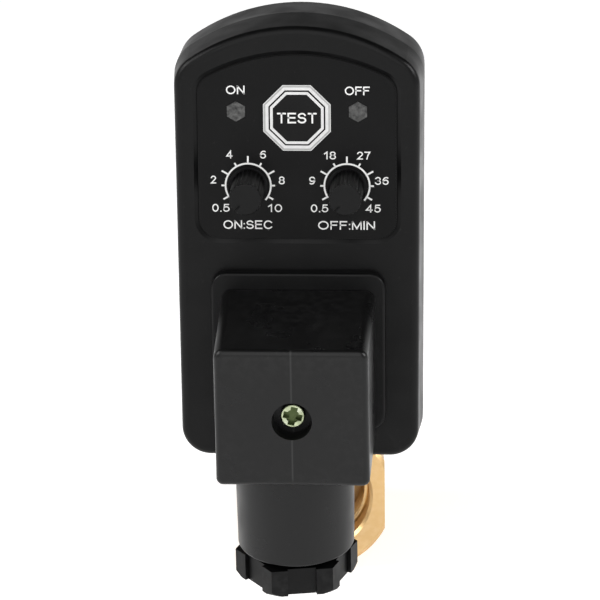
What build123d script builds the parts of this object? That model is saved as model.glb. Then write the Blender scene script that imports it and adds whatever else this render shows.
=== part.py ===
from build123d import *
import os
from math import sin, cos, tan, radians, sqrt, pi

os.makedirs("parts", exist_ok=True)

# ---------------------------------------------------------------------------
# Automatic drain valve: a brass two-way body with G1/2 ports, a solenoid coil
# on an armature tube, a plug-in timer box and a DIN 43650-A cable connector.
# Working frame while drawing: X to the right, Y from the connector towards the
# coil, Z up; X = 0 on the middle of the timer, Y = 0 on its front face and
# Z = 0 on its bottom edge.  At the end everything moves so that the origin is
# a point on the inlet port's axis, ORG_IN inside its mouth.  All lengths in millimetres.
# ---------------------------------------------------------------------------

# timer box
BOX_HW = 23.2        # half width at the parting line
BOX_TOP = 83.0       # crown height at the parting line
BOX_BOT = -0.65      # lowest line at the parting line
BOX_R = 35.5         # radius of the crown
BOX_RT = 6.8         # top corner radius
BOX_RB = 6.0         # bottom corner radius
BOX_IN = 0.5         # each side comes in by this much from the crown to the bottom
Y_PART = 9.5         # parting line between front and rear shell
Y_BACK = 20.0        # rear face
WALL = 1.8
FRONT_WALL = 2.3
DRAFT_F = 4.1        # degrees, front shell
DRAFT_R = 1.6        # degrees, rear shell

# label and what shows through it
LAB_HW, LAB_Z0, LAB_Z1, LAB_R = 18.12, 42.4, 77.15, 35.0
LAB_Y = 0.2          # front face of the label
REC_Y = 0.5          # depth of the recess it lies in
KNOB_X, KNOB_Z, KNOB_R, KNOB_END = 9.11, 52.2, 3.07, -8.6
KNOB_HOLE = 3.65
LED_X, LED_Z, LED_AF = 11.2, 66.5, 1.66   # hexagon, half across flats
TEST_Z, TEST_AF = 65.33, 4.97   # octagon, half across flats

# raised base for the connector, on the timer
BOSS_HW, BOSS_Z0, BOSS_Z1, BOSS_Y = 16.1, 6.0, 36.3, -2.3

# DIN 43650-A connector
CON_Y0, CON_Y1 = -2.5, -28.4
CON_HW0, CON_HW1 = 14.15, 14.0
CON_ZB0, CON_ZB1, CON_ZT0, CON_ZT1 = 4.0, 2.3, 33.15, 29.5
FACE_LEAN = 7.6      # degrees, the hood's front face leans back towards its foot
SCREW_Z = 15.57
SCREW_HOLE = 3.67
BLADE_X, EARTH_Z = 9.0, 24.87
BLADE_W, BLADE_T = 6.3, 0.8
# gland tube: drawn upright on X = 0, Y = 0, then leaned about its top
TUBE_X, TUBE_Y, TUBE_TOP, TUBE_LEAN = -0.3, -12.9, 3.5, 8.8
TUBE_R, TUBE_RT, TUBE_Z = 10.8, 11.02, -13.06
NUT_Z0, NUT_Z1, NUT_RC = -19.5, -14.2, 11.4

# solenoid and valve
YT = 42.5            # armature tube axis
TURN = 4.4           # degrees, valve body turned about the tube axis
PORT_Z, PORT_L, PORT_R, PORT_FLAT = -15.5, 22.0, 15.0, 13.35
THREAD_R, THREAD_DEPTH = 10.48, 14.0      # G1/2 major radius
TUBE_OD_R, TUBE_ID_R = 6.5, 5.2
COIL_Z0, COIL_Z1, COIL_HW = 5.8, 36.2, 15.5

# origin: on the inlet (rear) port's axis, just inside its mouth
ORG_IN = 1.0
MX = -(PORT_L - ORG_IN) * sin(radians(TURN))
MY = YT + (PORT_L - ORG_IN) * cos(radians(TURN))
MZ = PORT_Z


def box(x0, x1, y0, y1, z0, z1):
    return Pos((x0 + x1) / 2, (y0 + y1) / 2, (z0 + z1) / 2) * Box(x1 - x0, y1 - y0, z1 - z0)


def cyl_y(r, y0, y1, x, z):
    return Pos(x, (y0 + y1) / 2, z) * Rot(90, 0, 0) * Cylinder(r, abs(y1 - y0))


def cyl_z(r, z0, z1, x=0.0, y=0.0):
    return Pos(x, y, (z0 + z1) / 2) * Cylinder(r, abs(z1 - z0))


def prism(sk, y0, y1, taper=0.0):
    return extrude(Plane.XZ.offset(-y1) * sk, amount=y1 - y0, taper=taper)


def arch(hw, zb, peak, radius, rt, rb, nar=0.0):
    """Upright rectangle with an arched top and rounded corners, in X and Z, nar narrower on each side at its foot."""
    zs = peak - (radius - sqrt(radius * radius - hw * hw))
    hb = hw - nar
    edges = [Line((-hw, zs), (-hb, zb)), Line((-hb, zb), (hb, zb)), Line((hb, zb), (hw, zs)),
             ThreePointArc((hw, zs), (0, peak), (-hw, zs))]
    f = make_face(Wire(edges).edges())
    low = f.vertices().group_by(Axis.Y)[0]
    f = fillet(low, rb)
    high = [v for v in f.vertices() if abs(abs(v.X) - hw) < 1e-4 and v.Y > zs - 1e-3]
    return fillet(high, rt)


def rrect(x0, x1, z0, z1, r):
    return Pos((x0 + x1) / 2, (z0 + z1) / 2) * RectangleRounded(x1 - x0, z1 - z0, r)


def octagon(af):
    rc = af / cos(pi / 8)
    return Polygon(*[(rc * cos(pi / 8 + k * pi / 4), rc * sin(pi / 8 + k * pi / 4)) for k in range(8)],
                   align=None)


def hexagon(af, turn=0.0):
    rc = af / cos(pi / 6)
    a = radians(turn)
    return Polygon(*[(rc * cos(a + k * pi / 3), rc * sin(a + k * pi / 3)) for k in range(6)], align=None)


def save(name, shape):
    shape = shape.moved(Location((-MX, -MY, -MZ)))
    shape.label = name
    export_step(shape, f"parts/{name}.step")
    b = shape.bounding_box()
    print(f"{name:22s} vol {shape.volume:9.1f}  solids {len(shape.solids())}  valid {shape.is_valid}"
          f"  x {b.min.X:.1f}..{b.max.X:.1f} y {b.min.Y:.1f}..{b.max.Y:.1f} z {b.min.Z:.1f}..{b.max.Z:.1f}")


def group(*solids):
    out = []
    for s in solids:
        out += list(s.solids())
    return Compound(out)


def edges_at_y(shape, y, tol=1e-3):
    return [e for e in shape.edges() if all(abs(v.Y - y) < tol for v in e.vertices())
            and abs(e.center().Y - y) < tol]


# ---------------------------------------------------------------- timer box
PILLARS = [(-18.3, 5.6), (18.3, 5.6), (-18.3, 68.0), (18.3, 68.0)]

front = prism(arch(BOX_HW, BOX_BOT, BOX_TOP, BOX_R, BOX_RT, BOX_RB, BOX_IN), 0, Y_PART, DRAFT_F)
front = fillet(edges_at_y(front, 0.0), 1.4)
front += prism(rrect(-BOSS_HW, BOSS_HW, BOSS_Z0, BOSS_Z1, 3.0), BOSS_Y, 1.0)
front = fillet([e for e in edges_at_y(front, BOSS_Y)], 0.5)
cavity = prism(arch(BOX_HW - WALL - 0.6, BOX_BOT + WALL + 0.6, BOX_TOP - WALL - 0.6, BOX_R - WALL, 5.0, 3.8, BOX_IN),
               FRONT_WALL, Y_PART + 1)
front -= cavity
for px, pz in PILLARS:
    front += cyl_y(3.0, FRONT_WALL - 0.5, Y_PART, px, pz) & prism(
        arch(BOX_HW - 0.9, BOX_BOT + 0.9, BOX_TOP - 0.9, BOX_R - 0.9, BOX_RT, BOX_RB, BOX_IN), 1.0, Y_PART)
    front -= cyl_y(1.25, FRONT_WALL + 1.0, Y_PART + 1, px, pz)
# recess for the label: floor outline at REC_Y, wider outline at the face
rec_in = arch(LAB_HW + 0.2, LAB_Z0 - 0.2, LAB_Z1 + 0.2, LAB_R, 3.65, 3.95)
rec_out = arch(LAB_HW + 1.0, LAB_Z0 - 1.0, LAB_Z1 + 1.0, LAB_R + 0.9, 4.5, 4.8)
front -= prism(rec_in, 0.19, REC_Y)
front -= loft([(Plane.XZ.offset(-0.45) * rec_in), (Plane.XZ.offset(0.02) * rec_out)], ruled=True)
for s in (-1, 1):
    front -= cyl_y(KNOB_HOLE + 0.1, -1, FRONT_WALL + 1, s * KNOB_X, KNOB_Z)
    front -= prism(Pos(s * LED_X, LED_Z) * hexagon(LED_AF + 0.08, 90), -1, FRONT_WALL + 1)
    front -= box(s * BLADE_X - BLADE_T / 2 - 0.05, s * BLADE_X + BLADE_T / 2 + 0.05, -4, FRONT_WALL + 1,
                 SCREW_Z - BLADE_W / 2 - 0.05, SCREW_Z + BLADE_W / 2 + 0.05)
front -= prism(Pos(0, TEST_Z) * octagon(TEST_AF + 0.16), -1, FRONT_WALL + 1)
front -= box(-BLADE_W / 2 - 0.05, BLADE_W / 2 + 0.05, -4, FRONT_WALL + 1,
             EARTH_Z - BLADE_T / 2 - 0.05, EARTH_Z + BLADE_T / 2 + 0.05)
front -= cyl_y(1.8, -4, FRONT_WALL + 1, 0, SCREW_Z)
save("front_cover", front)

rear_out = arch(BOX_HW, BOX_BOT, BOX_TOP, BOX_R, BOX_RT, BOX_RB, BOX_IN)
rear = extrude(Plane.XZ.offset(-(Y_PART + 0.02)) * rear_out, amount=-(Y_BACK - Y_PART - 0.02), taper=DRAFT_R)
rear = fillet(edges_at_y(rear, Y_BACK), 1.2)
rear -= prism(arch(BOX_HW - WALL - 0.4, BOX_BOT + WALL + 0.4, BOX_TOP - WALL - 0.4, BOX_R - WALL, 5.0, 3.8, BOX_IN),
              Y_PART - 1, Y_BACK - 2.0)
for px, pz in PILLARS:
    rear += cyl_y(3.3, Y_PART + 0.02, Y_BACK - 1.0, px, pz) & prism(
        arch(BOX_HW - 0.9, BOX_BOT + 0.9, BOX_TOP - 0.9, BOX_R - 0.9, BOX_RT, BOX_RB, BOX_IN), Y_PART + 0.02, Y_BACK - 1)
    rear -= cyl_y(1.55, Y_PART - 1, Y_BACK + 1, px, pz)
    rear -= cyl_y(2.6, Y_PART + 5.0, Y_BACK + 1, px, pz)
for s in (-1, 1):
    rear -= box(s * BLADE_X - 0.6, s * BLADE_X + 0.6, Y_BACK - 3, Y_BACK + 1,
                SCREW_Z - 3.35, SCREW_Z + 3.35)
rear -= box(-3.35, 3.35, Y_BACK - 3, Y_BACK + 1, EARTH_Z - 0.6, EARTH_Z + 0.6)
rear -= cyl_y(1.8, Y_BACK - 3, Y_BACK + 1, 0, SCREW_Z)
save("rear_cover", rear)

screws = []
for px, pz in PILLARS:
    s = cyl_y(2.4, Y_PART + 5.02, Y_PART + 7.2, px, pz) + cyl_y(1.2, FRONT_WALL + 1.6, Y_PART + 5.1, px, pz)
    s -= box(px - 1.7, px + 1.7, Y_PART + 6.3, Y_PART + 8, pz - 0.25, pz + 0.25)
    s -= box(px - 0.25, px + 0.25, Y_PART + 6.3, Y_PART + 8, pz - 1.7, pz + 1.7)
    screws.append(s)
save("cover_screws", group(*screws))

label = prism(arch(LAB_HW, LAB_Z0, LAB_Z1, LAB_R, 3.5, 3.8), LAB_Y, REC_Y - 0.01)
for s in (-1, 1):
    label -= cyl_y(KNOB_HOLE, -1, 1, s * KNOB_X, KNOB_Z)
    label -= prism(Pos(s * LED_X, LED_Z) * hexagon(LED_AF + 0.05, 90), -1, 1)
label -= prism(Pos(0, TEST_Z) * octagon(TEST_AF + 0.16), -1, 1)
save("front_label", label)

for s, nm in ((-1, "led_on"), (1, "led_off")):
    led = prism(Pos(s * LED_X, LED_Z) * hexagon(LED_AF, 90), 0.24, 6.4) + cyl_y(2.3, 5.6, 7.5, s * LED_X, LED_Z)
    save(nm, led)

button = prism(Pos(0, TEST_Z) * octagon(TEST_AF), 0.14, 2.6)
button += prism(Pos(0, TEST_Z) * octagon(TEST_AF + 0.9), 2.4, 3.1)
button += cyl_y(1.6, 3.0, 3.35, 0, TEST_Z)
save("test_button", button)

for s, nm in ((-1, "on_time_knob"), (1, "off_time_knob")):
    n = 24
    pts = []
    for k in range(2 * n):
        rr = KNOB_R if k % 2 == 0 else KNOB_R - 0.26
        pts.append((rr * cos(pi * k / n), rr * sin(pi * k / n)))
    k_body = prism(Pos(s * KNOB_X, KNOB_Z) * Polygon(*pts, align=None), KNOB_END, 1.2)
    # small rounding at the outer end
    cone = Pos(s * KNOB_X, KNOB_END + 5, KNOB_Z) * Rot(90, 0, 0) * Cylinder(KNOB_R + 0.05, 10)
    cone = fillet(edges_at_y(cone, KNOB_END), 0.45)
    k_body = k_body & cone
    k_body += cyl_y(2.0, 1.0, 7.0, s * KNOB_X, KNOB_Z)
    # pointer notch in the end face, at the lowest setting at rest
    a = radians(225)
    notch = Pos(s * KNOB_X + 2.35 * cos(a), KNOB_END, KNOB_Z + 2.35 * sin(a)) * Rot(0, -225, 0) * Box(1.5, 1.0, 0.5)
    k_body -= notch
    save(nm, k_body)

# ------------------------------------------------------------- inside timer
PCB_Y0, PCB_Y1 = 7.6, 9.2
pcb = box(-15.0, 15.0, PCB_Y0, PCB_Y1, 3.5, 73.5) - cyl_y(2.2, 5, 12, 0, SCREW_Z)
save("circuit_board", pcb)
for s, nm in ((-1, "on_time_potentiometer"), (1, "off_time_potentiometer")):
    p = box(s * KNOB_X - 4.75, s * KNOB_X + 4.75, 3.0, PCB_Y0 - 0.02, KNOB_Z - 4.9, KNOB_Z + 4.9)
    p -= cyl_y(2.06, 2.5, 7.2, s * KNOB_X, KNOB_Z)
    save(nm, p)
sw = box(-3, 3, 4.6, PCB_Y0 - 0.02, TEST_Z - 3, TEST_Z + 3) + cyl_y(1.6, 3.9, 4.7, 0, TEST_Z)
save("test_switch", sw)
cap = Pos(0, PCB_Y1 + 4.15, 44.0) * Rot(0, 90, 0) * Cylinder(4.0, 12.0)
save("capacitor", fillet(cap.edges(), 0.4))
save("timer_chip", box(-5.0, 5.0, PCB_Y1 + 0.02, PCB_Y1 + 1.8, 56.0, 60.0))
save("switching_transistor", box(-5.1, 5.1, PCB_Y1 + 0.02, PCB_Y1 + 4.6, 64.5, 72.5))

blades = [box(s * BLADE_X - BLADE_T / 2, s * BLADE_X + BLADE_T / 2, -12.5, PCB_Y0 - 0.02,
              SCREW_Z - BLADE_W / 2, SCREW_Z + BLADE_W / 2) for s in (-1, 1)]
save("power_blades", group(*blades))
save("earth_blade", box(-BLADE_W / 2, BLADE_W / 2, -12.5, PCB_Y0 - 0.02,
                        EARTH_Z - BLADE_T / 2, EARTH_Z + BLADE_T / 2))

sock = box(-12.5, 12.5, 12.0, Y_BACK - 2.02, 10.0, 28.6)
for s in (-1, 1):
    sock -= box(s * BLADE_X - 1.55, s * BLADE_X + 1.55, 11, Y_BACK - 2.6, SCREW_Z - 3.85, SCREW_Z + 3.85)
    sock -= box(s * BLADE_X - 0.6, s * BLADE_X + 0.6, 11, Y_BACK, SCREW_Z - 3.35, SCREW_Z + 3.35)
sock -= box(-3.85, 3.85, 11, Y_BACK - 2.6, EARTH_Z - 1.55, EARTH_Z + 1.55)
sock -= box(-3.35, 3.35, 11, Y_BACK, EARTH_Z - 0.6, EARTH_Z + 0.6)
sock -= cyl_y(1.9, 11, Y_BACK, 0, SCREW_Z)
save("rear_socket", sock)
clips = []
for s in (-1, 1):
    c = box(s * BLADE_X - 1.5, s * BLADE_X + 1.5, PCB_Y1 + 0.02, Y_BACK - 2.7, SCREW_Z - 3.8, SCREW_Z + 3.8)
    c -= box(s * BLADE_X - 0.5, s * BLADE_X + 0.5, 12.6, Y_BACK, SCREW_Z - 3.3, SCREW_Z + 3.3)
    clips.append(c)
c = box(-3.8, 3.8, PCB_Y1 + 0.02, Y_BACK - 2.7, EARTH_Z - 1.5, EARTH_Z + 1.5)
c -= box(-3.3, 3.3, 12.6, Y_BACK, EARTH_Z - 0.5, EARTH_Z + 0.5)
clips.append(c)
save("rear_contacts", group(*clips))

g = prism(rrect(-13.4, 13.4, 6.2, 32.6, 1.6), Y_BACK + 0.02, Y_BACK + 1.2)
for s in (-1, 1):
    g -= box(s * BLADE_X - 0.8, s * BLADE_X + 0.8, 19, 23, SCREW_Z - 3.6, SCREW_Z + 3.6)
g -= box(-3.6, 3.6, 19, 23, EARTH_Z - 0.8, EARTH_Z + 0.8)
g -= cyl_y(1.9, 19, 23, 0, SCREW_Z)
save("timer_gasket", g)

# -------------------------------------------------------------------- coil
CY0 = Y_BACK + 1.25   # front face of the coil's connector base
coil = box(-COIL_HW, COIL_HW, 25.2, YT + 15.4, COIL_Z0 + 1.85, COIL_Z1 - 1.85)
coil = fillet(coil.edges().filter_by(Axis.Z).group_by(Axis.Y)[-1], 6.0)
coil = fillet(coil.edges().filter_by(Axis.Z).group_by(Axis.Y)[0], 1.5)
coil += prism(rrect(-14.2, 14.2, COIL_Z0 + 1.85, 33.4, 1.8), CY0, 26.0)
coil -= cyl_z(13.35, 8.9, 33.1, 0, YT)
coil -= cyl_z(6.75, 0, 40, 0, YT)
for s in (-1, 1):
    coil -= box(s * BLADE_X - 0.42, s * BLADE_X + 0.42, 20, 26.02, SCREW_Z - 3.17, SCREW_Z + 3.17)
coil -= box(-3.17, 3.17, 20, 26.02, EARTH_Z - 0.42, EARTH_Z + 0.42)
coil -= cyl_y(3.02, 20, 27.02, 0, SCREW_Z)
save("coil_body", coil)

ins = cyl_y(3.0, CY0 + 0.05, 27.0, 0, SCREW_Z) - cyl_y(1.56, 20, 26.5, 0, SCREW_Z)
save("coil_screw_insert", ins)
cb = [box(s * BLADE_X - BLADE_T / 2, s * BLADE_X + BLADE_T / 2, 13.2, 26.0,
          SCREW_Z - BLADE_W / 2, SCREW_Z + BLADE_W / 2) for s in (-1, 1)]
cb.append(box(-BLADE_W / 2, BLADE_W / 2, 13.2, 26.0, EARTH_Z - BLADE_T / 2, EARTH_Z + BLADE_T / 2))
save("coil_blades", group(*cb))

bob = cyl_z(8.1, 9.0, 33.0, 0, YT) + cyl_z(13.25, 9.0, 10.3, 0, YT) + cyl_z(13.25, 31.7, 33.0, 0, YT)
bob -= cyl_z(6.75, 0, 40, 0, YT)
save("coil_bobbin", bob)
save("coil_winding", cyl_z(12.9, 10.35, 31.65, 0, YT) - cyl_z(8.15, 0, 40, 0, YT))

yoke = box(-12.5, 12.5, YT - 12.0, YT + 17.4, COIL_Z0, COIL_Z0 + 1.8)
yoke += box(-12.5, 12.5, YT - 12.0, YT + 17.4, COIL_Z1 - 1.8, COIL_Z1)
yoke += box(-12.5, 12.5, YT + 15.5, YT + 17.4, COIL_Z0, COIL_Z1)
yoke = fillet([e for e in yoke.edges().filter_by(Axis.X) if e.center().Y > YT + 17.3], 1.2)
yoke -= cyl_z(TUBE_OD_R + 0.08, 0, 40, 0, YT)
save("coil_yoke", yoke)

# ------------------------------------------------------------ cable connector
def con_sec(inset, y, hw, zb, zt):
    return Plane.XZ.offset(-y) * (Pos(0, (zb + zt) / 2) * Rectangle(2 * (hw - inset), zt - zb - 2 * inset))

def con_loft(inset, back):
    """Hood block from its back plane to well past its front face, all sides inset."""
    k = (CON_Y1 - 2.0 - CON_Y0) / (CON_Y1 - CON_Y0)
    far = [a + (b - a) * k for a, b in ((CON_HW0, CON_HW1), (CON_ZB0, CON_ZB1), (CON_ZT0, CON_ZT1))]
    return loft([con_sec(inset, CON_Y0 + back, CON_HW0, CON_ZB0, CON_ZT0), con_sec(inset, CON_Y1 - 2.0, *far)], ruled=True)


def ahead(d):
    """Everything in front of the leaning front face, moved d into the hood."""
    return Pos(0, CON_Y1, CON_ZT1) * Rot(FACE_LEAN, 0, 0) * box(-30, 30, -30, d, -60, 30)


def leaned(shape):
    """From the gland tube's own upright place to where it is."""
    return Pos(TUBE_X, TUBE_Y, TUBE_TOP) * Rot(TUBE_LEAN, 0, 0) * Pos(0, 0, -TUBE_TOP) * shape


def on_face(e):
    c, k = cos(radians(FACE_LEAN)), sin(radians(FACE_LEAN))
    return all(abs((v.Y - CON_Y1) * c + (v.Z - CON_ZT1) * k) < 1e-3 for v in list(e.vertices()) + [e.center()])


hood = con_loft(0, 0) - ahead(0)
long_e = [e for e in hood.edges() if abs(e.vertices()[0].Y - e.vertices()[1].Y) > 10]
hood = fillet([e for e in long_e if e.center().Z > 20], 1.9)
long_e = [e for e in hood.edges() if len(e.vertices()) == 2 and abs(e.vertices()[0].Y - e.vertices()[1].Y) > 10
          and e.center().Z < 6]
hood = fillet(long_e, 1.3)
hood = fillet([e for e in hood.edges() if on_face(e)], 1.2)
stem = Pos(0, 0, (TUBE_Z + TUBE_TOP + 2) / 2) * Cone(TUBE_R, TUBE_RT, TUBE_TOP + 2 - TUBE_Z)
stem = fillet([e for e in stem.edges() if abs(e.center().Z - TUBE_Z) < 1e-3], 0.5)
hood += leaned(stem) - box(-30, 30, CON_Y0, 10, CON_ZB0, 20)
hood -= con_loft(1.7, 0.01) - ahead(2.2)
hood += cyl_y(5.4, -25.3, -20.6, 0, SCREW_Z)
hood -= cyl_y(SCREW_HOLE, CON_Y1 - 1, -21.2, 0, SCREW_Z)
hood -= cyl_y(1.7, CON_Y1 - 1, 0, 0, SCREW_Z)
hood -= leaned(cyl_z(8.1, TUBE_Z - 1, 0.5))
hood -= leaned(cyl_z(6.3, 0, TUBE_TOP + 3.4))
save("connector_housing", hood)

insert = box(-12.1, 12.1, -20.5, -3.7, 9.2, 27.9)
for s in (-1, 1):
    insert -= box(s * BLADE_X - 1.45, s * BLADE_X + 1.45, -18.1, -4.6, SCREW_Z - 3.75, SCREW_Z + 3.75)
    insert -= box(s * BLADE_X - 0.55, s * BLADE_X + 0.55, -5, -3, SCREW_Z - 3.3, SCREW_Z + 3.3)
    insert -= cyl_y(1.7, -22, -17, s * BLADE_X, SCREW_Z)
insert -= box(-3.75, 3.75, -18.1, -4.6, EARTH_Z - 1.45, EARTH_Z + 1.45)
insert -= box(-3.3, 3.3, -5, -3, EARTH_Z - 0.55, EARTH_Z + 0.55)
insert -= cyl_y(1.7, -22, -17, 0, EARTH_Z)
insert -= cyl_y(1.85, -22, -3, 0, SCREW_Z)
save("terminal_insert", insert)
cs = []
for s in (-1, 1):
    c = box(s * BLADE_X - 1.4, s * BLADE_X + 1.4, -18.0, -4.7, SCREW_Z - 3.7, SCREW_Z + 3.7)
    c -= box(s * BLADE_X - 0.5, s * BLADE_X + 0.5, -13.2, -4, SCREW_Z - 3.25, SCREW_Z + 3.25)
    cs.append(c)
c = box(-3.7, 3.7, -18.0, -4.7, EARTH_Z - 1.4, EARTH_Z + 1.4)
c -= box(-3.25, 3.25, -13.2, -4, EARTH_Z - 0.5, EARTH_Z + 0.5)
cs.append(c)
save("contact_sockets", group(*cs))
ts = []
for tx, tz in ((-BLADE_X, SCREW_Z), (BLADE_X, SCREW_Z), (0.0, EARTH_Z)):
    t = cyl_y(1.6, -20.3, -18.05, tx, tz)
    t -= box(tx - 2, tx + 2, -21.5, -19.6, tz - 0.25, tz + 0.25)
    ts.append(t)
save("terminal_screws", group(*ts))

cg = box(-12.2, 12.2, -3.6, -2.35, 5.9, 30.9)
cg -= box(-11.0, 11.0, -4, -2, 11.4, 27.6)
cg += box(-2.6, 2.6, -3.6, -2.35, 11.0, 20.0) - cyl_y(1.9, -4, -2, 0, SCREW_Z)
save("connector_gasket", cg)

scr = cyl_y(2.25, -23.3, -21.22, 0, SCREW_Z)
scr = fillet(edges_at_y(scr, -23.3), 0.3)
scr += cyl_y(1.5, -21.4, 26.0, 0, SCREW_Z)
scr -= Pos(0, -23.3, SCREW_Z) * Rot(0, 12, 0) * Box(1.25, 3.0, 3.5)
scr -= Pos(0, -23.3, SCREW_Z) * Rot(0, 12, 0) * Box(3.5, 3.0, 1.25)
for k in range(4):
    scr -= Pos(0, -23.3, SCREW_Z) * Rot(0, 57 + 90 * k, 0) * Box(2.5, 1.1, 0.5)
save("connector_screw", scr)

save("gland_grommet", leaned(cyl_z(7.95, -6.9, 0.45) - cyl_z(4.3, -10, 5)))
save("gland_washer", leaned(cyl_z(7.9, -7.9, -6.95) - cyl_z(4.8, -10, 5)))
nut = extrude(Plane.XY.offset(NUT_Z0) * hexagon(NUT_RC * cos(pi / 6)), amount=NUT_Z1 - NUT_Z0)
for k in range(6):
    a = 30 + 60 * k
    nut -= Rot(0, 0, a) * Pos(NUT_RC * cos(pi / 6) + 1.3, 0, (NUT_Z0 + NUT_Z1) / 2) * Box(4.0, 5.3, 20)
cone = Pos(0, 0, NUT_Z0 + 5) * Cylinder(NUT_RC + 0.01, 10)
cone = chamfer([e for e in cone.edges() if e.center().Z < NUT_Z0 + 1], 0.8)
nut = nut & cone
nut += cyl_z(8.04, NUT_Z1 - 1, -8.0)
nut -= cyl_z(4.6, NUT_Z0 - 1, 0)
nut -= Pos(0, 0, NUT_Z0 + 0.6) * Cone(5.6, 4.4, 1.3)
nut = Rot(0, 0, -111) * nut
save("gland_nut", leaned(nut))

# ---------------------------------------------------------------- valve body
def turned(shape):
    return Pos(0, YT, 0) * Rot(0, 0, TURN) * shape

body = Pos(0, 0, PORT_Z) * Rot(90, 0, 0) * Cylinder(PORT_R, 2 * PORT_L)
body = chamfer(body.edges().filter_by(GeomType.CIRCLE), 0.7)
body &= box(-PORT_FLAT, PORT_FLAT, -PORT_L - 1, PORT_L + 1, PORT_Z - 20, PORT_Z + 20)
body += cyl_z(13.3, PORT_Z, 2.0)
body = chamfer([e for e in body.edges() if abs(e.center().Z - 2.0) < 1e-3], 0.5)
bore_y = PORT_L - THREAD_DEPTH
tool = revolve(make_face(Polyline((0, bore_y), (THREAD_R, bore_y), (THREAD_R, PORT_L - 0.6), (THREAD_R + 0.6, PORT_L),
                                  (THREAD_R + 0.6, PORT_L + 2), (0, PORT_L + 2), close=True)), axis=Axis.Y)
for s in (0, 180):
    body -= Pos(0, 0, PORT_Z) * Rot(0, 0, s) * tool
body -= cyl_z(10.0, -3.0, 3.0)
body -= cyl_z(8.5, -8.0, -2.9)
body += cyl_z(3.4, -9.0, -5.0)
body -= cyl_z(1.5, -14.0, -4.0)
body -= Pos(0, -4.2, -14.0) * Rot(90, 0, 0) * Cylinder(2.5, 8.4)
body -= cyl_z(2.0, -14.4, -7.5, 0, 5.6)
body -= Pos(0, 7.0, -12.4) * Rot(90, 0, 0) * Cylinder(1.6, 3.4)
save("brass_body", turned(body))

tube = extrude(Plane.XY.offset(2.02) * hexagon(11.0, 0), amount=3.38)
tube += cyl_z(9.94, -2.9, 2.1) + cyl_z(TUBE_OD_R, 5.0, 33.98)
tube -= cyl_z(12, 0.25, 1.75) - cyl_z(8.6, 0.2, 1.8)
tube -= cyl_z(TUBE_ID_R, -4, 40)
tube -= cyl_z(7.6, -4, -0.6)
save("armature_tube", turned(tube))
save("tube_oring", turned(Pos(0, 0, 1.0) * Torus(9.29, 0.63)))
core = cyl_z(TUBE_ID_R - 0.03, 22.0, 34.0) + cyl_z(TUBE_OD_R - 0.05, 34.0, 35.2) + cyl_z(4.0, 35.0, 44.0)
core = chamfer([e for e in core.edges() if abs(e.center().Z - 44.0) < 1e-3], 0.6)
core -= cyl_z(4.25, 21, 23.2) - cyl_z(3.05, 20.9, 23.3)
save("fixed_core", turned(core))
save("shading_ring", turned(cyl_z(4.22, 22.05, 23.15) - cyl_z(3.08, 20, 25)))
pl = cyl_z(4.92, -4.6, 19.5) - cyl_z(3.05, -5, -2.9) - cyl_z(2.6, 9.4, 20)
save("plunger", turned(pl))
save("plunger_seal", turned(cyl_z(3.0, -4.97, -2.95)))
sp_h, sp_turns = 12.3 - 0.7, 7
hel = Helix(pitch=sp_h / sp_turns, height=sp_h, radius=2.0)
spr = sweep(Plane(origin=hel @ 0, z_dir=hel % 0) * Circle(0.3), path=hel)
save("plunger_spring", turned(Pos(0, 0, 9.75) * spr))
cn = extrude(Plane.XY.offset(36.9) * hexagon(8.5, 0), amount=5.0)
cn -= cyl_z(4.05, 30, 50)
cone = Pos(0, 0, 41.9 - 5) * Cylinder(9.7, 10)
cn &= chamfer([e for e in cone.edges() if e.center().Z > 41], 0.6)
save("coil_nut", Pos(0, YT, 0) * cn)
save("coil_washer", Pos(0, YT, 0) * (cyl_z(9.0, COIL_Z1 + 0.02, 36.88) - cyl_z(4.3, 30, 50)))
print("origin offset", MX, MY, MZ)
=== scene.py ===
import bpy
import bmesh
from math import sin, cos, tan, pi, radians, sqrt
from mathutils import Vector, Matrix


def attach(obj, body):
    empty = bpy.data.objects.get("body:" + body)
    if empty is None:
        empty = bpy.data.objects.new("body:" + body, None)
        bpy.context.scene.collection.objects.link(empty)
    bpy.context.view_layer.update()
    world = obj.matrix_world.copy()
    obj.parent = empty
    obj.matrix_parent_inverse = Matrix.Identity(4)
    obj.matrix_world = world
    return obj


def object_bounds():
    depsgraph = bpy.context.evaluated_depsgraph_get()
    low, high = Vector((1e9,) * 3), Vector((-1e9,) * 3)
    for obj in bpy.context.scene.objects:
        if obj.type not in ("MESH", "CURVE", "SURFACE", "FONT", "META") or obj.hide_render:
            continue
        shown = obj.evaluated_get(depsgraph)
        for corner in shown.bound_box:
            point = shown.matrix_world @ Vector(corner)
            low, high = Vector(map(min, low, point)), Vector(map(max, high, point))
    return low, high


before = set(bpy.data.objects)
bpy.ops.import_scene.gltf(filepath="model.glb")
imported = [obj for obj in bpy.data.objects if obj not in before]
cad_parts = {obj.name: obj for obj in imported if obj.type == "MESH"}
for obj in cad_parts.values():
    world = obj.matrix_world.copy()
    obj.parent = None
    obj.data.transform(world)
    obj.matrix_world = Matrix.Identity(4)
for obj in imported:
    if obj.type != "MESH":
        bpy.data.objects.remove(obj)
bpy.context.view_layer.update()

# Drawing frame: X right, Y into the depth, Z up, in mm, with Y = 0 on the timer's
# front face and Z = 0 at its bottom edge.  The row frame has its origin in the inlet.
TURN = radians(4.4)
YT, PORT_L, PORT_Z = 42.5, 22.0, -15.5
ORG = PORT_L - 1.0
MX, MY, MZ = -ORG * sin(TURN), YT + ORG * cos(TURN), PORT_Z


def H(x, y, z):
    return Vector(((x - MX) / 1000, (y - MY) / 1000, (z - MZ) / 1000))


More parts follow.
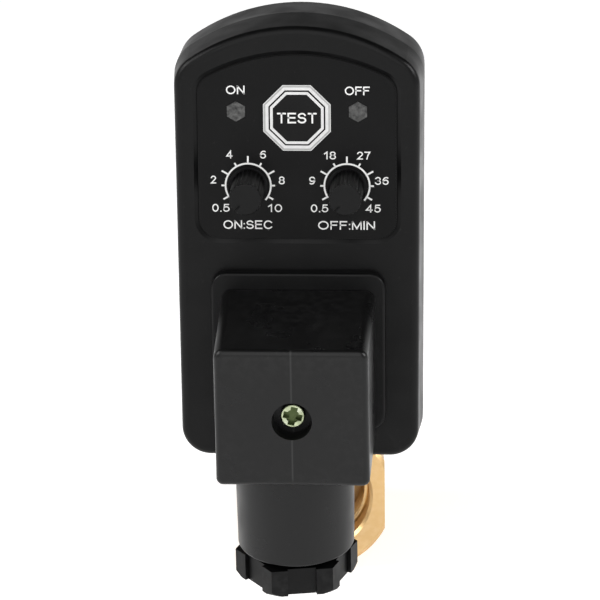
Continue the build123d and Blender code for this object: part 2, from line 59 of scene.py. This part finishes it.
# --------------------------------------------------------------------- materials
def make_mat(name, base, rough=0.45, metallic=0.0, spec=0.5, col_var=0.12, col_scale=60.0,
             rough_var=0.08, rough_scale=140.0, bump=0.000015, bump_scale=2600.0, detail=3.0,
             wear=0.0, wear_col=(0.3, 0.3, 0.3), coat=0.0, coat_rough=0.2, stretch=(1, 1, 1),
             dust=0.0, trans=0.0, ior=1.5, bump2=0.0, bump2_scale=300.0, aniso=0.0, seam_highlight_width=0.0, seam_highlight_col=(0.1, 0.1, 0.1),
             recess_shade_span=None, recess_shade_col=(0.05, 0.05, 0.05)):
    m = bpy.data.materials.new(name)
    m.use_nodes = True
    nt = m.node_tree
    b = nt.nodes["Principled BSDF"]
    b.inputs["Metallic"].default_value = metallic
    b.inputs["Specular IOR Level"].default_value = spec
    b.inputs["Coat Weight"].default_value = coat
    b.inputs["Coat Roughness"].default_value = coat_rough
    b.inputs["Transmission Weight"].default_value = trans
    b.inputs["IOR"].default_value = ior
    b.inputs["Anisotropic"].default_value = aniso
    tc = nt.nodes.new("ShaderNodeTexCoord")
    mp = nt.nodes.new("ShaderNodeMapping")
    mp.inputs["Scale"].default_value = stretch
    nt.links.new(tc.outputs["Object"], mp.inputs["Vector"])

    def noise(scale, det=detail, rg=0.5):
        n = nt.nodes.new("ShaderNodeTexNoise")
        n.inputs["Scale"].default_value = scale
        n.inputs["Detail"].default_value = det
        n.inputs["Roughness"].default_value = rg
        nt.links.new(mp.outputs["Vector"], n.inputs["Vector"])
        return n

    def maprange(src, lo, hi, a=0.0, c=1.0):
        r = nt.nodes.new("ShaderNodeMapRange")
        r.inputs["From Min"].default_value = a
        r.inputs["From Max"].default_value = c
        r.inputs["To Min"].default_value = lo
        r.inputs["To Max"].default_value = hi
        nt.links.new(src, r.inputs["Value"])
        return r.outputs["Result"]

    def mix(fac, a, c):
        x = nt.nodes.new("ShaderNodeMix")
        x.data_type = "RGBA"
        if isinstance(fac, (int, float)):
            x.inputs[0].default_value = fac
        else:
            nt.links.new(fac, x.inputs[0])
        for s, v in ((6, a), (7, c)):
            if isinstance(v, tuple):
                x.inputs[s].default_value = (*v, 1)
            else:
                nt.links.new(v, x.inputs[s])
        return x.outputs[2]

    n1 = noise(col_scale)
    lo = tuple(c * (1 - col_var) for c in base)
    hi = tuple(min(1, c * (1 + col_var)) for c in base)
    col = mix(maprange(n1.outputs["Fac"], 0, 1, 0.3, 0.7), lo, hi)
    n2 = noise(rough_scale)
    ro = maprange(n2.outputs["Fac"], rough - rough_var, rough + rough_var, 0.3, 0.7)
    if wear > 0:
        g = nt.nodes.new("ShaderNodeNewGeometry")
        n4 = noise(col_scale * 12)
        w = maprange(g.outputs["Pointiness"], 0, 1, 0.52, 0.60)
        mul = nt.nodes.new("ShaderNodeMath")
        mul.operation = "MULTIPLY"
        nt.links.new(w, mul.inputs[0])
        nt.links.new(maprange(n4.outputs["Fac"], 0, wear, 0.42, 0.62), mul.inputs[1])
        col = mix(mul.outputs[0], col, wear_col)
    if dust > 0:
        n5 = noise(900.0, 6.0, 0.7)
        col = mix(maprange(n5.outputs["Fac"], 0, dust, 0.62, 0.75), col, (0.35, 0.34, 0.32))
    # Painted highlight: a lighter line along the mould seam at X = 0, fading out within the given width, on faces that
    # don't face up and only above Z 3.2 mm.
    if seam_highlight_width > 0:
        sep = nt.nodes.new("ShaderNodeSeparateXYZ")
        nt.links.new(tc.outputs["Object"], sep.inputs[0])
        off = nt.nodes.new("ShaderNodeMath")
        off.operation = "ADD"
        off.inputs[1].default_value = MX / 1000
        nt.links.new(sep.outputs["X"], off.inputs[0])
        ab = nt.nodes.new("ShaderNodeMath")
        ab.operation = "ABSOLUTE"
        nt.links.new(off.outputs[0], ab.inputs[0])
        line = maprange(ab.outputs[0], 1.0, 0.0, 0.00006, seam_highlight_width)
        gn = nt.nodes.new("ShaderNodeNewGeometry")
        sn = nt.nodes.new("ShaderNodeSeparateXYZ")
        nt.links.new(gn.outputs["Normal"], sn.inputs[0])
        side = nt.nodes.new("ShaderNodeMath")
        side.operation = "MULTIPLY"
        nt.links.new(line, side.inputs[0])
        nt.links.new(maprange(sn.outputs["Z"], 1.0, 0.0, 0.75, 0.95), side.inputs[1])
        low = nt.nodes.new("ShaderNodeMath")
        low.operation = "MULTIPLY"
        nt.links.new(side.outputs[0], low.inputs[0])
        nt.links.new(maprange(sep.outputs["Z"], 0.0, 1.0, (3.2 - MZ) / 1000, (4.2 - MZ) / 1000), low.inputs[1])
        col = mix(low.outputs[0], col, seam_highlight_col)
    # Painted shade: the colour turns towards the given dark green with depth (Y) behind the front edge of the span,
    # shading the screw's cross recess and what lies behind the head face.
    if recess_shade_span is not None:
        sp = nt.nodes.new("ShaderNodeSeparateXYZ")
        nt.links.new(tc.outputs["Object"], sp.inputs[0])
        col = mix(maprange(sp.outputs["Y"], 0.0, 0.92, (recess_shade_span[0] - MY) / 1000, (recess_shade_span[1] - MY) / 1000), col, recess_shade_col)
    nt.links.new(col, b.inputs["Base Color"])
    nt.links.new(ro, b.inputs["Roughness"])
    last = None
    for d, s in ((bump, bump_scale), (bump2, bump2_scale)):
        if d > 0:
            nb = noise(s, 4.0, 0.6)
            bp = nt.nodes.new("ShaderNodeBump")
            bp.inputs["Strength"].default_value = 1.0
            bp.inputs["Distance"].default_value = d
            nt.links.new(nb.outputs["Fac"], bp.inputs["Height"])
            if last is not None:
                nt.links.new(last.outputs["Normal"], bp.inputs["Normal"])
            last = bp
    if last is not None:
        nt.links.new(last.outputs["Normal"], b.inputs["Normal"])
    return m


M = {}
M["shell"] = make_mat("shell_plastic", (0.0016, 0.0016, 0.0017), 0.36, spec=0.165, bump=0.000006, bump_scale=3600,
                      wear=0.22, wear_col=(0.014, 0.014, 0.014), dust=0.03, bump2=0.000008, bump2_scale=140)
M["label"] = make_mat("label_film", (0.0022, 0.0022, 0.0023), 0.38, spec=0.125, bump=0.000003, bump_scale=5200,
                      dust=0.03, bump2=0.000005, bump2_scale=120)
M["button"] = make_mat("button_film", (0.0030, 0.0030, 0.0031), 0.42, spec=0.15, bump=0.000003, bump_scale=5200, dust=0.03)
M["knob"] = make_mat("knob_plastic", (0.0022, 0.0022, 0.0023), 0.40, spec=0.17, bump=0.000006, bump_scale=4200,
                     wear=0.15, wear_col=(0.012, 0.012, 0.012))
# Connector hood: the mould seam down its middle is painted as a lighter line, a painted highlight on the seam.
M["hood"] = make_mat("hood_plastic", (0.0028, 0.0028, 0.0029), 0.33, spec=0.265, bump=0.000005, bump_scale=3000,
                     wear=0.25, wear_col=(0.025, 0.025, 0.025), dust=0.02, bump2=0.000007, bump2_scale=90,
                     seam_highlight_width=0.00022, seam_highlight_col=(0.022, 0.022, 0.022))
M["gland"] = make_mat("gland_plastic", (0.0016, 0.0016, 0.0017), 0.40, spec=0.15, bump=0.000006, bump_scale=2600,
                      wear=0.3, wear_col=(0.02, 0.02, 0.02), dust=0.02)
M["led"] = make_mat("led_lens", (0.050, 0.050, 0.049), 0.42, bump=0.00010, bump_scale=1500, col_var=0.85,
                    col_scale=1300, spec=0.35)
M["rubber"] = make_mat("seal_rubber", (0.012, 0.012, 0.012), 0.75, bump=0.00002, bump_scale=1800, spec=0.35)
M["brass"] = make_mat("forged_brass", (0.66, 0.435, 0.20), 0.33, metallic=1.0, col_var=0.05, col_scale=70,
                      rough_var=0.05, bump=0.000006, bump_scale=1800, wear=0.3, wear_col=(0.80, 0.60, 0.36),
                      bump2=0.000008, bump2_scale=200)
M["zinc"] = make_mat("yellow_zinc", (0.52, 0.56, 0.34), 0.30, metallic=1.0, col_var=0.14, col_scale=420,
                     bump=0.000008, bump_scale=2400, wear=0.4, wear_col=(0.8, 0.8, 0.76))
# Connector screw: besides its zinc finish, its cross recess gets painted shade, nearly full dark green from Y -22.75
# mm deeper.
M["bright_zinc"] = make_mat("bright_zinc", (0.42, 0.47, 0.30), 0.30, metallic=1.0, col_var=0.25, col_scale=900,
                            bump=0.00002, bump_scale=1600, wear=0.8, wear_col=(0.85, 0.88, 0.76),
                            recess_shade_span=(-23.2, -22.75), recess_shade_col=(0.045, 0.065, 0.02))
M["grey_zinc"] = make_mat("grey_zinc", (0.50, 0.50, 0.47), 0.34, metallic=1.0, col_var=0.08, col_scale=300,
                          bump=0.000008, bump_scale=2400, wear=0.3, wear_col=(0.7, 0.7, 0.68))
M["steel"] = make_mat("stainless_steel", (0.60, 0.59, 0.57), 0.28, metallic=1.0, col_var=0.06, bump=0.000005,
                      bump_scale=3000, stretch=(1, 1, 8))
M["tin"] = make_mat("tinned_contact", (0.66, 0.65, 0.62), 0.33, metallic=1.0, col_var=0.08, bump=0.000006,
                    bump_scale=2600)
M["copper"] = make_mat("enamelled_copper", (0.62, 0.25, 0.12), 0.32, metallic=1.0, col_var=0.1, bump=0.00003,
                       bump_scale=1600, stretch=(1, 1, 6))
M["board"] = make_mat("board_laminate", (0.03, 0.15, 0.06), 0.35, bump=0.00001, bump_scale=2200)
M["white_plastic"] = make_mat("white_plastic", (0.68, 0.67, 0.62), 0.5, bump=0.00001, bump_scale=2200)
M["chip"] = make_mat("moulded_epoxy", (0.03, 0.03, 0.032), 0.55, bump=0.00001, bump_scale=2800)
M["sleeve"] = make_mat("capacitor_sleeve", (0.03, 0.05, 0.16), 0.25, bump=0.000005, bump_scale=2200)
M["coil"] = make_mat("coil_epoxy", (0.0045, 0.0045, 0.0046), 0.48, spec=0.3, bump=0.000008, bump_scale=2600,
                     wear=0.25, wear_col=(0.03, 0.03, 0.03), dust=0.02, bump2=0.000005, bump2_scale=160)
M["ink"] = make_mat("white_ink", (0.72, 0.72, 0.71), 0.5, bump=0.000003, bump_scale=5000, col_var=0.06, col_scale=1500)
M["silver"] = make_mat("silver_foil", (0.60, 0.60, 0.595), 0.38, metallic=0.35, bump=0.000003, bump_scale=5000,
                       col_var=0.05, col_scale=1200)

M["silver_dark"] = make_mat("silver_shade", (0.34, 0.34, 0.335), 0.42, metallic=0.35, bump=0.000003, bump_scale=5000,
                            col_var=0.05, col_scale=1200)

use = {
    "shell": ["front_cover", "rear_cover"], "label": ["front_label"], "button": ["test_button"],
    "knob": ["on_time_knob", "off_time_knob"], "hood": ["connector_housing"], "gland": ["gland_nut"],
    "led": ["led_on", "led_off"], "rubber": ["timer_gasket", "connector_gasket", "gland_grommet", "tube_oring", "plunger_seal"],
    "brass": ["brass_body", "coil_screw_insert"],
    "zinc": ["terminal_screws"], "bright_zinc": ["connector_screw"],
    "grey_zinc": ["cover_screws", "coil_nut", "coil_yoke"],
    "steel": ["armature_tube", "fixed_core", "plunger", "plunger_spring", "gland_washer", "coil_washer"],
    "tin": ["power_blades", "earth_blade", "rear_contacts", "coil_blades", "contact_sockets"],
    "copper": ["coil_winding", "shading_ring"], "board": ["circuit_board"],
    "white_plastic": ["coil_bobbin"],
    "chip": ["on_time_potentiometer", "off_time_potentiometer", "test_switch", "timer_chip", "switching_transistor", "rear_socket", "terminal_insert"],
    "sleeve": ["capacitor"], "coil": ["coil_body"],
}
for key, names in use.items():
    for n in names:
        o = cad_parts[n]
        if len(o.material_slots) == 0:
            o.data.materials.append(M[key])
        for s in o.material_slots:
            s.material = M[key]


# ------------------------------------------------------------------ mesh helpers
class Builder:
    """Collects faces in the drawing frame (mm) and makes one object of them."""

    def __init__(self):
        self.v, self.f = [], []

    def add(self, verts, faces):
        k = len(self.v)
        self.v += [H(*p) for p in verts]
        self.f += [tuple(i + k for i in f) for f in faces]

    def strip(self, inner, outer, y0, y1, closed):
        """Flat band between two point rows (x, z), from depth y0 (back) to y1 (front)."""
        n = len(inner)
        vs = [(x, y1, z) for x, z in inner] + [(x, y1, z) for x, z in outer]
        vs += [(x, y0, z) for x, z in inner] + [(x, y0, z) for x, z in outer]
        fs = []
        m = n if closed else n - 1
        for i in range(m):
            j = (i + 1) % n
            fs += [(i, j, n + j, n + i), (2 * n + j, 2 * n + i, 3 * n + i, 3 * n + j),
                   (j, i, 2 * n + i, 2 * n + j), (n + i, n + j, 3 * n + j, 3 * n + i)]
        if not closed:
            fs += [(0, n, 3 * n, 2 * n), (n - 1, 3 * n - 1, 4 * n - 1, 2 * n - 1)]
        self.add(vs, fs)

    def arc(self, cx, cz, r0, r1, a0, a1, y0, y1, n=64):
        angs = [radians(a0 + (a1 - a0) * i / (n - 1)) for i in range(n)]
        self.strip([(cx + r0 * cos(a), cz + r0 * sin(a)) for a in angs],
                   [(cx + r1 * cos(a), cz + r1 * sin(a)) for a in angs], y0, y1, False)

    def tick(self, cx, cz, r0, r1, ang, w, y0, y1):
        a = radians(ang)
        d, t = Vector((cos(a), sin(a))), Vector((-sin(a), cos(a))) * w / 2
        p = [Vector((cx, cz)) + d * r for r in (r0, r1)]
        self.strip([tuple(p[0] - t), tuple(p[1] - t)], [tuple(p[0] + t), tuple(p[1] + t)], y0, y1, False)

    def text(self, s, x, z, h, y0, y1, width, wt=0.27):
        """Line of plain stroke letters, centred on (x, z), h tall and width wide, strokes wt thick."""
        adv, x0 = [], 0.0
        for ch in s:
            w, strokes = GLYPH[ch]
            adv.append((x0, strokes))
            x0 += w + GAP
        full = x0 - GAP
        hh, ww = h - wt, width - wt
        for gx, strokes in adv:
            for pts in strokes:
                row = [(x - ww / 2 + (gx + px) / full * ww, z - hh / 2 + pz * hh) for px, pz in pts]
                self.stroke(row, wt, y0, y1)

    def stroke(self, row, wt, y0, y1):
        """Band of one thickness along a row of points, mitred at the bends."""
        closed = (Vector(row[0]) - Vector(row[-1])).length < 1e-6
        if closed:
            row = row[:-1]
        n = len(row)
        a, b = [], []
        for i in range(n):
            q = Vector(row[i])
            prv = Vector(row[i - 1]) if (closed or i > 0) else None
            nxt = Vector(row[(i + 1) % n]) if (closed or i < n - 1) else None
            d1 = (q - prv).normalized() if prv is not None else None
            d2 = (nxt - q).normalized() if nxt is not None else None
            if d1 is None:
                d1 = d2
            if d2 is None:
                d2 = d1
            m = (d1 + d2).normalized()
            nrm = Vector((-m.y, m.x))
            k = wt / 2 / max(0.35, nrm.dot(Vector((-d2.y, d2.x))))
            a.append(tuple(q + nrm * k))
            b.append(tuple(q - nrm * k))
        if not closed:
            for row2 in (a, b):
                e0 = (Vector(row[0]) - Vector(row[1])).normalized() * wt / 2
                e1 = (Vector(row[-1]) - Vector(row[-2])).normalized() * wt / 2
                row2[0] = tuple(Vector(row2[0]) + e0)
                row2[-1] = tuple(Vector(row2[-1]) + e1)
        self.strip(a, b, y0, y1, closed)

    def build(self, name, mat, body, smooth=False):
        me = bpy.data.meshes.new(name)
        me.from_pydata([tuple(v) for v in self.v], [], self.f)
        me.update()
        bm = bmesh.new()
        bm.from_mesh(me)
        bmesh.ops.recalc_face_normals(bm, faces=bm.faces[:])
        bm.to_mesh(me)
        bm.free()
        me.materials.append(M[mat])
        if smooth:
            for p in me.polygons:
                p.use_smooth = True
        o = bpy.data.objects.new(name, me)
        bpy.context.scene.collection.objects.link(o)
        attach(o, body)
        return o


def bow(cx, cz, rx, rz, a0, a1, n=20):
    return [(cx + rx * cos(radians(a0 + (a1 - a0) * i / n)), cz + rz * sin(radians(a0 + (a1 - a0) * i / n)))
            for i in range(n + 1)]


# Letters as centre lines in a box 1 tall: width, then rows of points.
GAP = 0.30
GLYPH = {
    "O": (0.92, [bow(0.46, 0.5, 0.46, 0.5, 90, 450, 40)]),
    "N": (0.72, [[(0, 0), (0, 1)], [(0, 1), (0.72, 0)], [(0.72, 0), (0.72, 1)]]),
    "F": (0.62, [[(0, 0), (0, 1), (0.62, 1)], [(0, 0.53), (0.54, 0.53)]]),
    "E": (0.66, [[(0.66, 0), (0, 0), (0, 1), (0.66, 1)], [(0, 0.53), (0.60, 0.53)]]),
    "T": (0.70, [[(0, 1), (0.70, 1)], [(0.35, 0), (0.35, 1)]]),
    "M": (0.84, [[(0, 0), (0, 1)], [(0, 1), (0.42, 0.08), (0.84, 1)], [(0.84, 0), (0.84, 1)]]),
    "I": (0.0, [[(0, 0), (0, 1)]]),
    "S": (0.68, [bow(0.34, 0.745, 0.31, 0.255, 20, 90, 8) + bow(0.34, 0.745, 0.31, 0.235, 90, 250, 14)[1:]
                 + bow(0.34, 0.262, 0.34, 0.262, 70, -160, 22)]),
    "C": (0.82, [bow(0.44, 0.5, 0.44, 0.5, 38, 322, 32)]),
    ":": (0.0, [[(0, 0.02), (0, 0.021)], [(0, 0.62), (0, 0.621)]]),
    ".": (0.0, [[(0, 0), (0, 0.001)]]),
    "0": (0.56, [bow(0.28, 0.5, 0.28, 0.5, 90, 450, 36)]),
    "1": (0.30, [[(0, 0.74), (0.26, 1.0), (0.26, 0)]]),
    "2": (0.56, [bow(0.28, 0.72, 0.27, 0.28, 165, -30, 18) + [(0.02, 0), (0.56, 0)]]),
    "3": (0.56, [bow(0.27, 0.755, 0.25, 0.245, 160, -90, 18), bow(0.27, 0.27, 0.28, 0.27, 90, -165, 20)]),
    "4": (0.62, [[(0.46, 0), (0.46, 1), (0, 0.27), (0.62, 0.27)]]),
    "5": (0.56, [[(0.50, 1), (0.10, 1), (0.04, 0.49)] + bow(0.27, 0.33, 0.29, 0.33, 128, -155, 22)]),
    "6": (0.56, [bow(0.28, 0.31, 0.28, 0.31, 90, 450, 26), bow(0.36, 0.45, 0.36, 0.55, 190, 62, 16)]),
    "7": (0.56, [[(0, 1), (0.56, 1), (0.36, 0.6), (0.22, 0)]]),
    "8": (0.56, [bow(0.28, 0.765, 0.245, 0.235, 270, 630, 24), bow(0.28, 0.265, 0.28, 0.265, 90, 450, 26)]),
    "9": (0.56, [bow(0.28, 0.69, 0.28, 0.31, 90, 450, 26), bow(0.20, 0.55, 0.36, 0.55, 10, -118, 16)]),
}


def octa(af, cx=0.0, cz=65.33):
    rc = af / cos(pi / 8)
    return [(cx + rc * cos(pi / 8 + k * pi / 4), cz + rc * sin(pi / 8 + k * pi / 4)) for k in range(8)]


# --------------------------------------------------- print on the label and button
YL0, YL1 = 0.205, 0.175       # ink on the label
YB0, YB1 = 0.145, 0.115       # ink on the button
ink = Builder()
DX, DZ = 9.11, 52.45
for cx in (-DX, DX):
    ink.arc(cx, DZ, 4.02, 4.34, 213, -41, YL0, YL1, 80)
    for ang in range(-30, 211, 30):
        if ang in (30, 90, 150):
            r1 = 5.6
        elif ang in (-30, 210):
            r1 = 5.3
        else:
            r1 = 4.95
        ink.tick(cx, DZ, 4.28, r1, ang, 0.32, YL0, YL1)
for s, dx, dz, wd in (("2", -6.4, 1.1, 1.0), ("4", -3.4, 5.9, 1.15), ("6", 2.8, 5.9, 1.1), ("8", 6.2, 1.0, 1.1),
                      ("0.5", -5.1, -4.3, 3.2), ("10", 4.9, -4.3, 2.6)):
    ink.text(s, -DX + dx, DZ + dz, 1.5, YL0, YL1, wd, 0.215)
for s, dx, dz, wd in (("9", -6.4, 1.0, 1.1), ("18", -3.1, 5.8, 2.2), ("27", 3.1, 5.8, 2.45), ("36", 6.4, 1.0, 2.5),
                      ("0.5", -5.1, -4.3, 3.2), ("45", 4.8, -4.3, 2.75)):
    ink.text(s, DX + dx, DZ + dz, 1.5, YL0, YL1, wd, 0.215)
ink.text("ON", -11.25, 70.6, 1.62, YL0, YL1, 3.42, 0.24)
ink.text("OFF", 11.1, 70.5, 1.62, YL0, YL1, 4.55, 0.24)
ink.text("ON:SEC", -9.26, 44.95, 1.65, YL0, YL1, 9.05, 0.235)
ink.text("OFF:MIN", 8.97, 44.9, 1.65, YL0, YL1, 10.5, 0.235)
ink.build("dial_print", "ink", "head")

oc = Builder()
oc.strip(octa(5.22, cz=65.33), octa(6.2, cz=65.33), YL0, YL1, True)
oc.build("octagon_frame", "silver", "head")
oi = Builder()
oi.strip(octa(5.78, cz=65.33), octa(6.08, cz=65.33), YL1, YL1 - 0.02, True)
oi.build("octagon_line", "silver_dark", "head")
ob = Builder()
ob.strip(octa(4.42, cz=65.33), octa(4.93, cz=65.33), YB0, YB1, True)
ob.build("button_frame", "silver", "button")
tb = Builder()
tb.text("TEST", 0, 65.33, 2.0, YB0, YB1, 7.3, 0.30)
tb.build("button_print", "ink", "button")


# ------------------------------------------------------------- threads in the ports
def thread(name, sgn):
    """Ridge of a G1/2 thread on the plain bore wall; sgn -1 front port, +1 rear port."""
    b = Builder()
    pitch, turns, n = 1.814, (5.1 if sgn < 0 else 6.6), 56
    start = 4.2 if sgn < 0 else 1.5
    prof = [(10.475, -0.80), (9.62, -0.16), (9.50, 0.0), (9.62, 0.16), (10.475, 0.80)]
    verts, faces = [], []
    steps = int(turns * n)
    for i in range(steps + 1):
        a = 2 * pi * i / n
        fade = min(1.0, i / (n * 0.35), (steps - i) / (n * 0.35))
        yy = PORT_L - start - pitch * i / n
        for r, dy in prof:
            rr = 10.475 - (10.475 - r) * fade
            x, z, y = rr * cos(a), rr * sin(a), sgn * (yy + dy)
            xx = x * cos(TURN) - y * sin(TURN)
            y2 = x * sin(TURN) + y * cos(TURN)
            verts.append((xx, YT + y2, PORT_Z + z))
    k = len(prof)
    for i in range(steps):
        for j in range(k - 1):
            faces.append((i * k + j, i * k + j + 1, (i + 1) * k + j + 1, (i + 1) * k + j))
        faces.append((i * k + k - 1, i * k, (i + 1) * k, (i + 1) * k + k - 1))
    b.add(verts, faces)
    return b.build(name, "brass", "valve_body", smooth=True)


thread("front_port_thread", -1)
thread("rear_port_thread", 1)

# --------------------------------------------------------------- floor and light
lo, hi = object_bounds()
bpy.ops.mesh.primitive_plane_add(size=6.0, location=(0, 1.5, lo[2]))
floor = bpy.context.object
floor.name = "floor"
fm = bpy.data.materials.new("floor_paper")
fm.use_nodes = True
fb = fm.node_tree.nodes["Principled BSDF"]
fb.inputs["Base Color"].default_value = (0.93, 0.93, 0.93, 1)
fb.inputs["Roughness"].default_value = 0.9
fb.inputs["Specular IOR Level"].default_value = 0.1
fb.inputs["Emission Color"].default_value = (1, 1, 1, 1)
fb.inputs["Emission Strength"].default_value = 0.48
floor.data.materials.append(fm)

sc = bpy.context.scene
w = bpy.data.worlds.new("studio")
sc.world = w
w.use_nodes = True
wn = w.node_tree
bg = wn.nodes["Background"]
tcw = wn.nodes.new("ShaderNodeTexCoord")
sepw = wn.nodes.new("ShaderNodeSeparateXYZ")
wn.links.new(tcw.outputs["Generated"], sepw.inputs[0])
ramp = wn.nodes.new("ShaderNodeMapRange")
ramp.inputs["From Min"].default_value = 0.18
ramp.inputs["From Max"].default_value = 0.50
ramp.inputs["To Min"].default_value = 0.50
ramp.inputs["To Max"].default_value = 0.05
wn.links.new(sepw.outputs["Z"], ramp.inputs["Value"])
lpw = wn.nodes.new("ShaderNodeLightPath")
mxw = wn.nodes.new("ShaderNodeMix")
mxw.data_type = "FLOAT"
wn.links.new(lpw.outputs["Is Camera Ray"], mxw.inputs[0])
wn.links.new(ramp.outputs["Result"], mxw.inputs[2])
mxw.inputs[3].default_value = 1.1
bg.inputs[0].default_value = (1.0, 1.0, 1.0, 1)
wn.links.new(mxw.outputs[0], bg.inputs[1])


def area(name, loc, aim, size, power, size_y=None, col=(1, 1, 1)):
    l = bpy.data.lights.new(name, "AREA")
    l.energy = power
    l.color = col
    l.size = size
    if size_y:
        l.shape = "RECTANGLE"
        l.size_y = size_y
    o = bpy.data.objects.new(name, l)
    sc.collection.objects.link(o)
    o.location = loc
    d = Vector(aim) - Vector(loc)
    o.rotation_euler = d.to_track_quat("-Z", "Y").to_euler()
    return o


C = H(0, 10, 35)
area("key", C + Vector((-0.85, -0.25, 0.60)), C, 0.5, 7.0)
area("fill", C + Vector((0.85, -0.15, 0.50)), C, 0.4, 5.5)
area("front", C + Vector((0.0, -1.15, 0.80)), C, 1.5, 13.0)

# ------------------------------------------------------------------------ camera
phi, psi, rho, D, f_px, u0 = radians(17.054), radians(3.255), radians(-0.590), 850.0, 4584.8, 298.71
back = Vector((sin(psi) * cos(phi), -cos(psi) * cos(phi), sin(phi)))
fwd = -back
right = fwd.cross(Vector((0, 0, 1))).normalized()
up = right.cross(fwd)
r2 = right * cos(rho) + up * sin(rho)
u2 = -right * sin(rho) + up * cos(rho)
aim = H(0, 0, 30.51)
cd = bpy.data.cameras.new("camera")
cd.sensor_width = 36.0
cd.lens = f_px / 600 * 36.0
cd.shift_x = (300 - u0) / 600
cd.clip_start = 0.01
cd.clip_end = 50
co = bpy.data.objects.new("camera", cd)
sc.collection.objects.link(co)
mat = Matrix((r2, u2, back)).transposed().to_4x4()
mat.translation = aim + back * (D / 1000)
co.matrix_world = mat
sc.camera = co
sc.view_settings.view_transform = "Standard"
sc.view_settings.look = "None"
